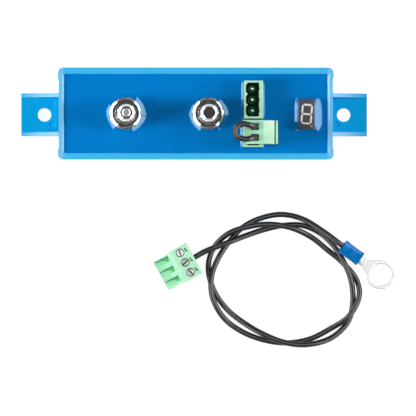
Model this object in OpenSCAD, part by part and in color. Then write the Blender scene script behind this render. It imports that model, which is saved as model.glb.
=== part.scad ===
// Potted battery disconnect module on mounting ears, with two M8 studs,
// pluggable control headers, a status digit and a loose ring-terminal lead.
// Origin: middle of the case underside. X is the long axis, +Z is up.

/* [Case] */
// Length of the case body
case_l = 127.4; // [124:0.2:132]
// Width of the case body
case_w = 42.5; // [42:0.5:46]
// Height of the case rim
case_h = 36; // [35.6:0.2:38]
// Thickness of the long walls
wall_side = 2.9; // [2.4:0.1:3.2]
// Thickness of the end walls
wall_end = 2.7; // [2.2:0.1:2.9]
// Thickness of the case floor
floor_t = 2.5; // [1.5:0.1:2.5]
// Inset of the underside from the rim on each side
draft = 0.95; // [0:0.05:1.2]
// Outer radius of the case corners
corner_r = 2.5; // [1:0.5:4]

/* [Mounting ears] */
// Overall length over both ears
ear_span = 159.6; // [156:0.2:166]
// Width of each ear
ear_w = 19.7; // [16:0.1:24]
// Thickness of the ear plate
ear_t = 4; // [3:0.5:5]
// Spacing of the two mounting holes
hole_span = 138.2; // [137:0.2:144]
// Diameter of the mounting holes
hole_d = 6.2; // [4:0.1:6.6]
// Thickness of the side ribs
rib_t = 1.85; // [1.2:0.05:2.4]
// Height of the ribs at the case wall
rib_h = 16; // [8:1:24]

/* [Power terminals] */
// Distance of the input stud from the centre
input_x = -32.6; // [-34:0.1:-31]
// Distance of the output stud from the centre
output_x = 5.7; // [5:0.1:6]
// Diameter of the stud
stud_d = 8; // [6:0.5:8]
// Height of the stud tips above the underside
stud_top = 57; // [54:0.5:60]
// Size across the flats of the stud's hexagon base
base_af = 17; // [15:0.5:17]
// Size across the flats of the nuts
nut_af = 13; // [12:0.5:14]
// Height of the nuts
nut_h = 6.5; // [5:0.5:7]

/* [Connectors] */
// Pitch of the connector poles
pitch = 5.08; // [5:0.08:5.08]
// Height of the connector header tops
header_top = 43.2; // [42.6:0.2:43.2]

/* [Lead] */
// Diameter of the lead's cable
cable_d = 2.6; // [2:0.1:2.6]
// Inner diameter of the ring terminal
ring_id = 10.3; // [8.4:0.1:10.5]
// Outer diameter of the ring terminal
ring_od = 13.4; // [13:0.1:14]

/* [Hidden] */
$fn = 64;

in_l = case_l - 2 * wall_end;      // cavity length
in_w = case_w - 2 * wall_side;     // cavity width
resin_top = case_h - 1.2;
spread_z = floor_t;                // heat spreader underside
spread_t = 5.5;
fet_z = spread_z + spread_t;       // transistors lie on the spreader
fet_h = 4;
pwr_z = fet_z + fet_h;             // power board underside
pcb_t = 1.6;
bus_z = pwr_z + pcb_t;             // busbars lie on the power board
bus_t = 3;
hex_z = bus_z + bus_t;
boss_z = 34.2; boss_r = 7;          // round boss on the hexagon base
hex_top = 35.7;
washer_t = 1.8;
nut_z = hex_top + washer_t;
logic_z = 29.4;                    // logic board underside
logic_top = logic_z + pcb_t;
// connector places on the logic board
hx0 = 22.1; hx1 = 30.9;            // three-pole header in X
cav_x0 = 22.95; cav_x1 = 29.05;    // socket in X
cav_z = 34.6;                      // socket floor
p3_y = 6.35;                       // middle pole of the three-pole header
h2x0 = 21.7; h2x1 = 30.8;
p2_y = -8.9;                       // middle of the two-pole plug
pin_x = 25.95;
plug_x = 22.74; plug_z = 35.4;     // plug origin when seated
disp_x = 51.2; disp_y = -0.3; disp_w = 7.4; disp_l = 14; disp_top = 39;
// lead plug lying on its back
lead_a = 29;
lead_p = [-15.25, -74.45, 0];
// ring terminal
ring_p = [86.3, -73.6];
ring_a = -36;
ring_tilt = 9;
tongue_t = 0.9;

// cable centreline, from inside the plug to inside the crimp sleeve
route = [[-1.9,-67,4.2],[5.5,-62.8,4.3],[14.5,-59.4,4.4],[23.5,-55.9,2.7],[32,-53,1.5],
  [41,-51,1.4],[50,-50.9,1.4],[58,-54.3,1.5],[64.4,-60.2,2.6],[68.9,-67.5,4.2],
  [72.4,-76,3.9],[73.4,-86,1.7],[71,-95.6,1.4],[63.2,-103,1.7],[52.5,-106,4],
  [42,-105.1,4.2],[31.5,-101,4.1],[22.5,-95.6,1.8],[14.8,-89.2,1.4],[9,-80.6,1.4],
  [6.6,-70.5,1.4],[9,-61.5,1.5],[15.8,-54.8,3.5],[25,-51.6,4.3],[35,-50.5,4.2],
  [45,-52.2,4],[54,-56.3,1.8],[61.2,-61.9,1.4],[68.5,-68,1.4],[74.8,-75.6,1.6],
  [76.2,-84,3.3],[71.4,-93,4.2],[63.2,-98.5,2],[53.5,-103.4,1.4],[43,-105.2,1.4],
  [32.5,-103.9,1.4],[22.5,-100.2,1.5],[14,-94,1.8],[8.7,-85,4],[7.9,-75.5,4.2],
  [10.6,-67.3,2.6],[16,-58.8,1.5],[22.8,-51.6,1.4],[31.5,-47.4,1.4],[41,-45.9,1.8],
  [50.5,-48.2,3.6],[59.5,-53.7,5.8],[66.2,-58.7,6.8],[70,-61.6,6.3]];
// link wire centreline, from one pole of its plug round to the other
link = [[26.9,-6.36,50.7],[26.9,-6.36,53.6],[26.3,-6.1,55.4],[24.2,-5.6,56.6],
  [21.4,-5.2,57],[18.8,-6.3,57.3],[17.7,-8.7,57.4],[19,-11.2,57.3],
  [21.8,-12.2,57],[24.4,-12,56.6],[26.3,-11.7,55.4],[26.9,-11.44,53.6],[26.9,-11.44,50.7]];

// point on the smooth curve through a list of points
function at(r, u) = let (i = min(floor(u), len(r) - 2), t = u - i,
    b = r[i], c = r[i + 1],
    a = i > 0 ? r[i - 1] : 2 * b - c,
    d = i + 2 < len(r) ? r[i + 2] : 2 * c - b)
  0.5 * (2 * b + (c - a) * t + (2 * a - 5 * b + 4 * c - d) * t * t
    + (3 * b - a - 3 * c + d) * t * t * t);
function unit(v) = v / norm(v);
function rings(r, n) = [for (k = [0 : n - 1]) at(r, k * (len(r) - 1) / (n - 1))];
// side vector carried along the tube so that it does not twist
function carry(s, t) = unit(s - (s * t) * t);
function tangents(q) = [for (k = [0 : len(q) - 1])
  unit(q[min(k + 1, len(q) - 1)] - q[max(k - 1, 0)])];
function sides(t, k = 0, s = [0, 0, 1]) = k == len(t) ? [] :
  let (c = norm(cross(s, t[k])) < 0.1 ? carry([1, 0, 0], t[k]) : carry(s, t[k]))
  concat([c], sides(t, k + 1, c));
module tube(r, n, d, m = 8) {
  q = rings(r, n); t = tangents(q); s = sides(t, 0, norm(cross([0, 0, 1], t[0])) < 0.2 ? [1, 0, 0] : [0, 0, 1]);
  pts = [for (k = [0 : n - 1]) for (j = [0 : m - 1])
    let (a = 360 * (j + 0.5) / m)
      q[k] + d / 2 * (cos(a) * s[k] + sin(a) * cross(t[k], s[k]))];
  body = [for (k = [0 : n - 2]) for (j = [0 : m - 1]) let (h = (j + 1) % m)
    [k * m + j, (k + 1) * m + j, (k + 1) * m + h, k * m + h]];
  tri = [for (f = body) each [[f[0], f[1], f[2]], [f[0], f[2], f[3]]]];
  polyhedron(concat(pts), concat(tri,
    [[for (j = [0 : m - 1]) j]],
    [[for (j = [m - 1 : -1 : 0]) (n - 1) * m + j]]), convexity = 10);
}

// rectangle from corner to corner with rounded corners
module rrect(x0, y0, x1, y1, r) {
  translate([x0 + r, y0]) square([x1 - x0 - 2 * r, y1 - y0]);
  translate([x0, y0 + r]) square([x1 - x0, y1 - y0 - 2 * r]);
  for (x = [x0 + r, x1 - r], y = [y0 + r, y1 - r]) translate([x, y]) circle(r);
}
module box(x0, y0, z0, x1, y1, z1) {
  translate([x0, y0, z0]) cube([x1 - x0, y1 - y0, z1 - z0]);
}
module hexagon(af, h) { cylinder(d = af / cos(30), h = h, $fn = 6); }

// ---- case ----
module ear(s) {
  difference() {
    union() {
      intersection() {
        linear_extrude(ear_t) ear_outline(s);
        box(-200, -50, 0, 200, 50, ear_t);
      }
      for (m = [-1, 1]) intersection() {
        linear_extrude(rib_h) ear_outline(s);
        translate([0, m * (ear_w / 2 - rib_t / 2) + rib_t / 2, 0]) rotate([90, 0, 0])
          linear_extrude(rib_t) polygon([[s * (case_l / 2 - 1), 0], [s * ear_span / 2, 0],
            [s * ear_span / 2, 5.5], [s * (case_l / 2), rib_h], [s * (case_l / 2 - 1), rib_h]]);
      }
    }
    translate([s * hole_span / 2, 0, -1]) cylinder(d = hole_d, h = ear_t + 2);
    for (y = [-4.45, 4.5]) translate([s * 65.4, y, ear_t - 0.3]) cylinder(r = 1.65, h = 1);
  }
}
module ear_outline(s) {
  x0 = case_l / 2 - 1; x1 = ear_span / 2;
  if (s > 0) rrect(x0, -ear_w / 2, x1, ear_w / 2, 0.9);
  else rrect(-x1, -ear_w / 2, -x0, ear_w / 2, 0.9);
}
// body of length l whose walls lean out by draft from the underside to the rim
module drafted(l) {
  intersection() {
    linear_extrude(case_h) rrect(-l / 2, -case_w / 2, l / 2, case_w / 2, corner_r);
    rotate([90, 0, 0]) linear_extrude(100, center = true) polygon([[-l / 2 + draft, 0],
      [l / 2 - draft, 0], [l / 2, case_h], [-l / 2, case_h]]);
    rotate([90, 0, 90]) linear_extrude(200, center = true) polygon([[-case_w / 2 + draft, 0],
      [case_w / 2 - draft, 0], [case_w / 2, case_h], [-case_w / 2, case_h]]);
  }
}
module case() {
  color([0.05, 0.55, 0.86]) difference() {
    union() {
      drafted(case_l - 0.8);
      difference() {
        drafted(case_l);
        cube([case_l + 10, case_w - 10, 3 * case_h], center = true);
      }
      ear(-1); ear(1);
    }
    translate([0, 0, floor_t]) linear_extrude(case_h)
      rrect(-in_l / 2, -in_w / 2, in_l / 2, in_w / 2, 1.2);
  }
}

// ---- potting and inner parts ----
module potting_resin() {
  color([0, 0.45, 0.75]) difference() {
    translate([0, 0, floor_t]) linear_extrude(resin_top - floor_t)
      rrect(-in_l / 2, -in_w / 2, in_l / 2, in_w / 2, 1.2);
    heat_spreader(); power_mosfets(); power_board();
    input_busbar(); output_busbar(); shunt_strip();
    gate_driver(); capacitors(); resistors(); board_link_pins();
    logic_board(); microcontroller();
    for (x = [input_x, output_x]) translate([x, 0, 0]) {
      translate([0, 0, pwr_z]) cylinder(r = 3, h = hex_z - pwr_z);
      translate([0, 0, hex_z]) hexagon(base_af, boss_z - hex_z);
      translate([0, 0, boss_z]) cylinder(r = boss_r, h = 10);
    }
    box(hx0, p3_y - 8.77, logic_top, hx1, p3_y + 8.77, header_top);
    box(h2x0, -15.58, logic_top, h2x1, -3.08, header_top);
    header_3pole_pins(); header_2pole_pins();
    display_body(); display_pins();
  }
}
module heat_spreader() {
  color([0.75, 0.76, 0.78]) box(-57, -15.5, spread_z, 57, 15.5, fet_z);
}
module power_mosfets() {
  color([0.12, 0.12, 0.13]) for (x = [-44, -20, -7, 19, 32, 45], y = [-8, 8])
    translate([x, y, fet_z]) { box(-5, -4.5, 0, 5, 4.5, fet_h); box(-4, -6.2, 0, 4, 6.2, 1.3); }
}
module power_board() {
  color([0.05, 0.35, 0.2]) difference() {
    box(-57.5, -16, pwr_z, 57.5, 16, bus_z);
    for (x = [input_x, output_x]) translate([x, 0, pwr_z - 1]) cylinder(r = 3, h = 4);
  }
}
module busbar(x0, x1, sx) {
  difference() {
    box(x0, -11, bus_z, x1, 11, hex_z);
    translate([sx, 0, bus_z - 1]) cylinder(r = 3, h = bus_t + 2);
  }
}
module input_busbar() { color([0.8, 0.45, 0.3]) busbar(-45, -20, input_x); }
module output_busbar() { color([0.8, 0.45, 0.3]) busbar(-6, 17, output_x); }
module shunt_strip() {
  color([0.65, 0.6, 0.55]) {
    box(-16, -6, bus_z, -6, 6, bus_z + 1.5);
  }
}
module gate_driver() { color([0.1, 0.1, 0.1]) box(20, -3, bus_z, 26, 3, bus_z + 1.6); }
module capacitors() {
  color([0.2, 0.2, 0.35]) for (x = [31, 41, 51], y = [-9, 9])
    translate([x, y, bus_z]) cylinder(r = 4, h = 12);
}
module resistors() {
  color([0.15, 0.15, 0.2]) for (x = [30, 36, 42, 48], y = [-2.5, 2.5])
    translate([x, y, bus_z]) box(-1.6, -0.8, 0, 1.6, 0.8, 0.7);
}
module board_link_pins() {
  color([0.85, 0.8, 0.6]) for (k = [-3 : 3])
    translate([56, k * 2.54, bus_z]) box(-0.4, -0.4, 0, 0.4, 0.4, logic_z - bus_z);
}
module logic_board() {
  color([0.05, 0.4, 0.22]) difference() {
    box(17.6, -17.6, logic_z, 59, 17.6, logic_top);
    header_pins([p3_y - pitch, p3_y, p3_y + pitch], 28);
    header_pins([p2_y - pitch / 2, p2_y + pitch / 2], 28);
    display_pins();
  }
}
module microcontroller() {
  color([0.1, 0.1, 0.11]) box(38, -13, logic_z - 1.2, 47, -4, logic_z);
}

// ---- power terminals ----
module stud(x) {
  translate([x, 0, 0]) {
    translate([0, 0, pwr_z]) cylinder(r = 3, h = hex_z - pwr_z);
    translate([0, 0, hex_z]) hexagon(base_af, boss_z - hex_z);
    translate([0, 0, boss_z]) cylinder(r = boss_r, h = hex_top - boss_z);
    // lower thread, under the washer and nut
    translate([0, 0, hex_top]) cylinder(d = stud_d - 0.1, h = 7.9);
    // relief groove between the two threads
    translate([0, 0, hex_top + 7.9]) cylinder(d = stud_d - 0.7, h = 0.8);
    // free end above the nut
    translate([0, 0, hex_top + 8.7]) cylinder(d = stud_d, h = stud_top - hex_top - 9.8);
    translate([0, 0, stud_top - 1.1]) cylinder(r1 = stud_d / 2, r2 = stud_d / 2 - 1.1, h = 1.1);
  }
}
module washer(x) {
  translate([x, 0, hex_top]) difference() {
    cylinder(r = 7.3, h = washer_t);
    translate([0, 0, -1]) cylinder(r = stud_d / 2 + 0.35, h = washer_t + 2);
  }
}
module nut(x, a) {
  translate([x, 0, nut_z]) rotate([0, 0, a]) difference() {
    intersection() {
      hexagon(nut_af, nut_h);
      union() {
        cylinder(r1 = nut_af / 2 - 0.1, r2 = nut_af / 2 + 1.1, h = 0.7);
        translate([0, 0, 0.7]) cylinder(r = nut_af / 2 + 1.1, h = nut_h - 1.4);
        translate([0, 0, nut_h - 0.7]) cylinder(r1 = nut_af / 2 + 1.1, r2 = nut_af / 2 - 0.1, h = 0.7);
      }
    }
    translate([0, 0, -1]) cylinder(r = stud_d / 2 + 0.05, h = nut_h + 2);
  }
}
module input_stud() { color([0.75, 0.76, 0.78]) stud(input_x); }
module output_stud() { color([0.75, 0.76, 0.78]) stud(output_x); }
module input_washer() { color([0.8, 0.81, 0.83]) washer(input_x); }
module output_washer() { color([0.8, 0.81, 0.83]) washer(output_x); }
module input_nut() { color([0.7, 0.71, 0.73]) nut(input_x, 12); }
module output_nut() { color([0.7, 0.71, 0.73]) nut(output_x, 5); }

// ---- headers ----
module header_pins(ys, z0) {
  for (y = ys) box(pin_x - 0.45, y - 0.45, z0, pin_x + 0.45, y + 0.45, 41.4);
}
module header_3pole_pins() {
  color([0.85, 0.8, 0.78]) header_pins([p3_y - pitch, p3_y, p3_y + pitch], 28);
}
module header_2pole_pins() {
  color([0.85, 0.8, 0.78]) header_pins([p2_y - pitch / 2, p2_y + pitch / 2], 28);
}
module header_3pole() {
  color([0.6, 0.85, 0.7]) difference() {
    box(hx0, p3_y - 8.77, logic_top, hx1, p3_y + 8.77, header_top);
    difference() {
      box(cav_x0, p3_y - 7.82, cav_z, cav_x1, p3_y + 7.82, header_top + 1);
      // keying teeth between the poles
      for (y = [p3_y - pitch / 2, p3_y + pitch / 2]) translate([cav_x0, y, cav_z - 1])
        linear_extrude(header_top - cav_z + 1) polygon([[-0.1, -1.1], [0.9, 0], [-0.1, 1.1]]);
    }
    header_3pole_pins();
  }
}
module header_2pole() {
  color([0.6, 0.85, 0.7]) difference() {
    box(h2x0, -15.58, logic_top, h2x1, -3.08, header_top);
    difference() {
      box(cav_x0, -14.83, cav_z, cav_x1, -3.83, header_top + 1);
      translate([cav_x0, p2_y, cav_z - 1]) linear_extrude(header_top - cav_z + 1)
        polygon([[-0.1, -1.1], [0.9, 0], [-0.1, 1.1]]);
    }
    header_2pole_pins();
  }
}

// ---- status digit ----
seg_l = 3.95; seg_w = 0.85;
module seg_bar(l) {
  polygon([[-l / 2, 0], [-l / 2 + seg_w / 2, seg_w / 2], [l / 2 - seg_w / 2, seg_w / 2],
    [l / 2, 0], [l / 2 - seg_w / 2, -seg_w / 2], [-l / 2 + seg_w / 2, -seg_w / 2]]);
}
module digit_outline() {
  rotate(-5) {
    for (y = [-4.3, 0, 4.3]) translate([0, y]) seg_bar(seg_l);
    for (x = [-2.15, 2.15], y = [-2.15, 2.15]) translate([x, y]) rotate(90) seg_bar(seg_l);
  }
  translate([2.15, -5.6]) circle(0.55);
}
module display_segments() {
  color([0.93, 0.93, 0.92]) translate([disp_x, disp_y, disp_top - 0.5]) linear_extrude(0.5) digit_outline();
}
module display_body() {
  color([0.28, 0.28, 0.3]) difference() {
    box(disp_x - disp_w / 2, disp_y - disp_l / 2, logic_top, disp_x + disp_w / 2, disp_y + disp_l / 2, disp_top);
    translate([disp_x, disp_y, disp_top - 0.5]) linear_extrude(1) digit_outline();
  }
}
module display_pins() {
  color([0.8, 0.8, 0.8]) for (x = [-2.54, 0, 2.54], y = [-6, 6])
    translate([disp_x + x, disp_y + y, 28]) cylinder(r = 0.3, h = logic_top - 28);
}

// ---- pluggable screw terminals, in their own frame ----
// x runs from the back to the screw heads, y along the poles, z towards the wires
tower_w = 14.9; tower_z = 7.9; tower_h = 9.6; plug_h = tower_z + tower_h;
wire_u = 4.16; screw_w = 12.5;
function poles(n) = [for (k = [0 : n - 1]) (k - (n - 1) / 2) * pitch];
module plug_body(n) {
  wy = n * pitch + 0.64; my = n * pitch - 0.46;
  color([0.62, 0.9, 0.75]) difference() {
    union() {
      translate([0.4, -my / 2, 0]) cube([5.8, my, tower_z]);
      translate([0, -wy / 2, tower_z]) cube([tower_w, wy, tower_h]);
    }
    // keyways between the poles
    for (k = [1 : n - 1]) translate([0, poles(n)[k] - pitch / 2, -1]) linear_extrude(tower_z + 1)
      polygon([[0, -1.75], [1.55, 0], [0, 1.75]]);
    // step, groove and lip along the wire face
    translate([8.3, -wy, plug_h - 0.3]) cube([20, 2 * wy, 1]);
    translate([13.2, -wy, plug_h - 1]) cube([0.7, 2 * wy, 2]);
    for (y = poles(n)) translate([0, y, 0]) {
      translate([1.9, -1.35, -1]) cube([2.7, 2.7, 9.4]);      // socket for the pin
      translate([5.4, -1.7, -1]) cube([2, 3.4, 8]);           // channel on the face
      translate([1, -2.05, 8.4]) cube([8.8, 4.1, 6.8]);       // clamp chamber
      translate([wire_u, 0, 15]) cylinder(r = 1.8, h = 4);    // wire hole
      translate([wire_u - 1.74, -1.62, 15.9]) cube([3.53, 3.24, 3]);  // square mouth
      translate([9.7, 0, screw_w]) rotate([0, 90, 0]) cylinder(r = 1.55, h = 3);
      translate([12.6, 0, screw_w]) rotate([0, 90, 0]) cylinder(r = 2, h = 3);
      translate([tower_w - 0.3, -1, 15]) cube([1, 2, 1.2]);   // label recess
    }
  }
}
module plug_contacts(n) {
  color([0.8, 0.7, 0.45]) for (y = poles(n)) translate([0, y, 0]) {
    box(2.2, -1.1, 0.6, 2.6, 1.1, 9);
    box(3.85, -1.1, 0.6, 4.25, 1.1, 9);
    box(2.2, -1.1, 8.45, 5.9, 1.1, 9);
    box(5.3, -1.1, 8.45, 5.9, 1.1, 14.6);
  }
}
module clamp_cage(y) {
  color([0.78, 0.79, 0.8]) translate([0, y, 0]) difference() {
    box(2.3, -1.95, 9.3, 9.1, 1.95, 14.3);
    box(2.95, -1.4, 9, 7.6, 1.4, 15);
    translate([7, 0, screw_w]) rotate([0, 90, 0]) cylinder(r = 1.3, h = 3);
  }
}
module clamp_screw(y, a) {
  color([0.82, 0.8, 0.8]) translate([0, y, screw_w]) rotate([a, 0, 0]) difference() {
    union() {
      translate([6.4, 0, 0]) rotate([0, 90, 0]) cylinder(r = 1.25, h = 6.3);
      translate([12.65, 0, 0]) rotate([0, 90, 0]) cylinder(r = 1.75, h = 1.95);
    }
    translate([13.9, -2, -0.25]) cube([2, 4, 0.5]);
  }
}
module wire_cores(ys) {
  color([0.8, 0.5, 0.35]) for (y = ys) translate([wire_u, y, 9.4]) cylinder(r = 0.9, h = 5.85);
}
module at_jumper() { translate([plug_x, p2_y, plug_z]) children(); }
module at_lead() { translate(lead_p) rotate([0, 0, 180 + lead_a]) rotate([0, -90, 0]) children(); }

module jumper_plug() { at_jumper() plug_body(2); }
module jumper_contacts() { at_jumper() plug_contacts(2); }
module jumper_screw_a() { at_jumper() clamp_screw(pitch / 2, 20); }
module jumper_screw_b() { at_jumper() clamp_screw(-pitch / 2, 65); }
module jumper_clamp_a() { at_jumper() clamp_cage(pitch / 2); }
module jumper_clamp_b() { at_jumper() clamp_cage(-pitch / 2); }
module jumper_wire() { color([0.13, 0.13, 0.14]) tube(link, 37, cable_d, 12); }
module jumper_wire_cores() { at_jumper() wire_cores(poles(2)); }

module lead_plug() { at_lead() plug_body(3); }
module lead_contacts() { at_lead() plug_contacts(3); }
module lead_screw_a() { at_lead() clamp_screw(-pitch, 75); }
module lead_screw_b() { at_lead() clamp_screw(0, 10); }
module lead_screw_c() { at_lead() clamp_screw(pitch, 45); }
module lead_clamp_a() { at_lead() clamp_cage(-pitch); }
module lead_clamp_b() { at_lead() clamp_cage(0); }
module lead_clamp_c() { at_lead() clamp_cage(pitch); }
module lead_cable() { color([0.13, 0.13, 0.14]) tube(route, 80, cable_d - 0.05, 8); }

// ---- ring terminal, x back along the lead, rests on its tip ----
module at_ring() {
  translate([ring_p[0], ring_p[1], 0]) rotate([0, 0, ring_a + 180])
    translate([-ring_od / 2, 0, 0.03]) rotate([0, -ring_tilt, 0])
      translate([ring_od / 2, 0, tongue_t / 2]) children();
}
barrel_z = 1.45;
module ring_terminal() {
  color([0.88, 0.89, 0.9]) at_ring() {
    translate([0, 0, -tongue_t / 2]) linear_extrude(tongue_t) difference() {
      union() {
        circle(ring_od / 2);
        polygon([[4.2, 5.1], [7.4, 2.9], [9.4, 2.2], [12.4, 2.1], [12.4, -2.1], [9.4, -2.2],
          [7.4, -2.9], [4.2, -5.1]]);
      }
      circle(ring_id / 2);
    }
    translate([11.6, 0, barrel_z]) rotate([0, 90, 0]) difference() {
      cylinder(r = 1.9, h = 7.6);
      translate([0, 0, 0.9]) cylinder(r = 1.05, h = 8);
    }
  }
}
module crimp_sleeve() {
  color([0.1, 0.35, 0.75]) at_ring() translate([12.5, 0, barrel_z]) rotate([0, 90, 0]) difference() {
    linear_extrude(10.25) union() {
      for (s = [-1, 1]) translate([0, s * 0.6]) circle(2.35);
      translate([-2.35, -0.6]) square([4.7, 1.2]);
    }
    translate([0, 0, -1]) cylinder(r = 1.9, h = 7.7);
    translate([0, 0, 6]) cylinder(r = 1.45, h = 5);
  }
}
module lead_wire_cores() {
  at_lead() wire_cores([0]);
  color([0.8, 0.5, 0.35]) at_ring() translate([12.6, 0, barrel_z]) rotate([0, 90, 0])
    cylinder(r = 0.9, h = 6.5);
}

case();
potting_resin();
heat_spreader();
power_mosfets();
power_board();
input_busbar();
output_busbar();
shunt_strip();
gate_driver();
capacitors();
resistors();
board_link_pins();
logic_board();
microcontroller();
input_stud();
output_stud();
input_washer();
output_washer();
input_nut();
output_nut();
header_3pole();
header_3pole_pins();
header_2pole();
header_2pole_pins();
display_body();
display_segments();
display_pins();
jumper_plug();
jumper_contacts();
jumper_screw_a();
jumper_screw_b();
jumper_clamp_a();
jumper_clamp_b();
jumper_wire();
jumper_wire_cores();
lead_plug();
lead_contacts();
lead_screw_a();
lead_screw_b();
lead_screw_c();
lead_clamp_a();
lead_clamp_b();
lead_clamp_c();
lead_cable();
lead_wire_cores();
crimp_sleeve();
ring_terminal();
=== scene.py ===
import bpy, bmesh, math
from mathutils import Vector, Matrix, noise


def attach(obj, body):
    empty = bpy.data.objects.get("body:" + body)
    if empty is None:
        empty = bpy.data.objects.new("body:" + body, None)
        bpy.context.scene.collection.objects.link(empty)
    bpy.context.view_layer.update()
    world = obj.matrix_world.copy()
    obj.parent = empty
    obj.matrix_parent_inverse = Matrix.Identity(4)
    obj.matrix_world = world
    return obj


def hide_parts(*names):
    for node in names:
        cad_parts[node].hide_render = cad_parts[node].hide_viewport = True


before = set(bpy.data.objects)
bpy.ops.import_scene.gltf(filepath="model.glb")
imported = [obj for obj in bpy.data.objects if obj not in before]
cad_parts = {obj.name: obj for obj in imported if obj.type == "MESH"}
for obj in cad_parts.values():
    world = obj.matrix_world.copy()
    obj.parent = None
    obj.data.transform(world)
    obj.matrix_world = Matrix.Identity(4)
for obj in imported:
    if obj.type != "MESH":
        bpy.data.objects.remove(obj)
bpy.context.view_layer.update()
MM = 0.001
TAU = 2 * math.pi
SC = bpy.context.scene

# ---------------------------------------------------------------- camera
CX, CY = 6.5, -42.9
TILT = Vector((-0.0236, -0.0206, 1.0)).normalized()
DIST = 2.0
cam_data = bpy.data.cameras.new("cam")
cam_data.type = "ORTHO"
cam_data.ortho_scale = 0.1921
cam_data.clip_start, cam_data.clip_end = 0.05, 20
cam = bpy.data.objects.new("cam", cam_data)
SC.collection.objects.link(cam)
SC.camera = cam
cam.location = Vector((CX * MM, CY * MM, 0)) + TILT * DIST
zax = TILT
xax = Vector((0, 1, 0)).cross(zax).normalized()
yax = zax.cross(xax)
cam.matrix_world = Matrix((
    (xax.x, yax.x, zax.x, cam.location.x), (xax.y, yax.y, zax.y, cam.location.y),
    (xax.z, yax.z, zax.z, cam.location.z), (0, 0, 0, 1)))

# ---------------------------------------------------------------- helpers
def catmull(r, u):
    i = min(int(u), len(r) - 2)
    t = u - i
    b, c = Vector(r[i]), Vector(r[i + 1])
    a = Vector(r[i - 1]) if i > 0 else 2 * b - c
    d = Vector(r[i + 2]) if i + 2 < len(r) else 2 * c - b
    return 0.5 * (2 * b + (c - a) * t + (2 * a - 5 * b + 4 * c - d) * t * t + (3 * b - a - 3 * c + d) * t ** 3)


def link(ob):
    SC.collection.objects.link(ob)
    return ob


def mesh(name, verts, faces):
    """New object from points in millimetres; piece() brings it to metres."""
    me = bpy.data.meshes.new(name)
    me.from_pydata([tuple(v) for v in verts], [], faces)
    bm = bmesh.new(); bm.from_mesh(me)
    bmesh.ops.recalc_face_normals(bm, faces=bm.faces)
    bm.to_mesh(me); bm.free()
    return link(bpy.data.objects.new(name, me))


def bake(ob):
    dg = bpy.context.evaluated_depsgraph_get()
    me = bpy.data.meshes.new_from_object(ob.evaluated_get(dg))
    old = ob.data
    ob.modifiers.clear()
    ob.data = me
    bpy.data.meshes.remove(old)
    me.name = ob.name
    return ob


def boolean(ob, other, op="DIFFERENCE"):
    m = ob.modifiers.new("b", "BOOLEAN")
    m.operation, m.solver, m.object = op, "EXACT", other
    bake(ob)
    bpy.data.objects.remove(other)
    return ob


def bevel(ob, width, segments=2, angle=32):
    m = ob.modifiers.new("v", "BEVEL")
    m.width, m.segments, m.limit_method, m.angle_limit = width, segments, "ANGLE", math.radians(angle)
    m.use_clamp_overlap = True
    m.miter_outer = "MITER_ARC"
    m.harden_normals = False
    return bake(ob)


def clean(ob, d=1e-4):
    bm = bmesh.new(); bm.from_mesh(ob.data)
    bmesh.ops.remove_doubles(bm, verts=bm.verts, dist=d)
    bmesh.ops.dissolve_degenerate(bm, dist=d, edges=bm.edges)
    bmesh.ops.recalc_face_normals(bm, faces=bm.faces)
    bm.to_mesh(ob.data); bm.free()
    return ob


def move(ob, m):
    ob.data.transform(m)
    return ob


def prism(name, pts, z0, z1):
    n = len(pts)
    v = [(x, y, z0) for x, y in pts] + [(x, y, z1) for x, y in pts]
    f = [list(range(n))[::-1], list(range(n, 2 * n))] + [[i, (i + 1) % n, n + (i + 1) % n, n + i] for i in range(n)]
    return mesh(name, v, f)


def rrect(x0, y0, x1, y1, r, n=6):
    p = []
    for cx, cy, a in ((x1 - r, y1 - r, 0), (x0 + r, y1 - r, 90), (x0 + r, y0 + r, 180), (x1 - r, y0 + r, 270)):
        for k in range(n + 1):
            t = math.radians(a + 90 * k / n)
            p.append((cx + r * math.cos(t), cy + r * math.sin(t)))
    return p


def box(name, x0, y0, z0, x1, y1, z1):
    return prism(name, [(x0, y0), (x1, y0), (x1, y1), (x0, y1)], z0, z1)


def circle(x, y, r, n=48, a0=0.0):
    return [(x + r * math.cos(a0 + TAU * k / n), y + r * math.sin(a0 + TAU * k / n)) for k in range(n)]


def cyl(name, x, y, r, z0, z1, n=48):
    return prism(name, circle(x, y, r, n), z0, z1)


def loft(name, loops, caps=True, closed=False):
    """Quads between loops of the same number of points."""
    n = len(loops[0])
    v = [p for lp in loops for p in lp]
    f = []
    rows = len(loops)
    for j in range(rows if closed else rows - 1):
        a, b = j * n, ((j + 1) % rows) * n
        f += [[a + i, a + (i + 1) % n, b + (i + 1) % n, b + i] for i in range(n)]
    if caps and not closed:
        f += [list(range(n))[::-1], [(rows - 1) * n + i for i in range(n)]]
    return mesh(name, v, f)


def lathe(name, cx, cy, prof, n=72, closed=True):
    """Profile of (r, z) turned about a vertical axis."""
    return loft(name, [[(cx + r * math.cos(TAU * k / n), cy + r * math.sin(TAU * k / n), z) for k in range(n)] for r, z in prof], closed=closed)


def tube(name, pts, radius, sides=16):
    """Round tube through points in millimetres."""
    P = [Vector(p) for p in pts]
    T = [(P[min(i + 1, len(P) - 1)] - P[max(i - 1, 0)]).normalized() for i in range(len(P))]
    s = Vector((0, 0, 1)) if abs(T[0].z) < 0.9 else Vector((1, 0, 0))
    loops = []
    for p, t in zip(P, T):
        s = (s - s.dot(t) * t).normalized()
        b = t.cross(s)
        rr = radius
        loops.append([tuple(p + rr * (math.cos(TAU * k / sides) * s + math.sin(TAU * k / sides) * b)) for k in range(sides)])
    return loft(name, loops)


def join(name, *obs):
    bm = bmesh.new()
    for o in obs:
        bm.from_mesh(o.data)
    me = bpy.data.meshes.new(name)
    bm.to_mesh(me); bm.free()
    for o in obs:
        bpy.data.objects.remove(o)
    return link(bpy.data.objects.new(name, me))


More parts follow.
